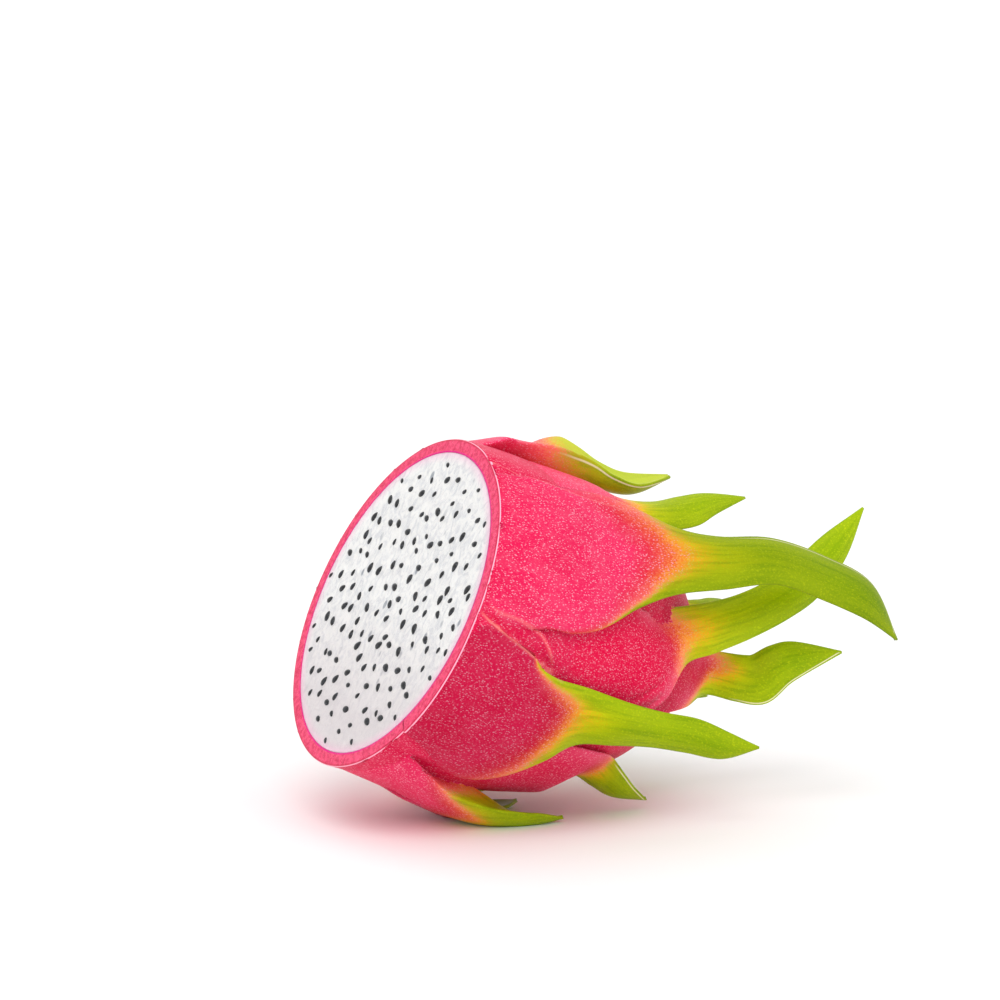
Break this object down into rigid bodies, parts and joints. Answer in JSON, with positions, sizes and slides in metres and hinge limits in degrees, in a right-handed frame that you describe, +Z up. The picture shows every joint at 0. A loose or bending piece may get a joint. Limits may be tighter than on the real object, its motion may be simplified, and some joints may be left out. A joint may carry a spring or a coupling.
{
  "type": "dragon fruit half",
  "caption": "Half of a white-fleshed dragon fruit, cut across, with curving green-tipped scales and black seeds in its cut face.",
  "frame": {"origin": "middle of the flattest of the three spots that the half rests on, at the surface it lies on", "axes": "+Z up; +X level along the fruit, from the cut towards the flower end; the cut face looks along -X and upwards"},
  "size_m": [0.1454, 0.1001, 0.0974],
  "materials": {
    "peel": "satin",
    "flesh": "satin"
  },
  "bodies": {
    "root": {"peel": "peel", "flesh": "flesh"}
  },
  "joints": []
}
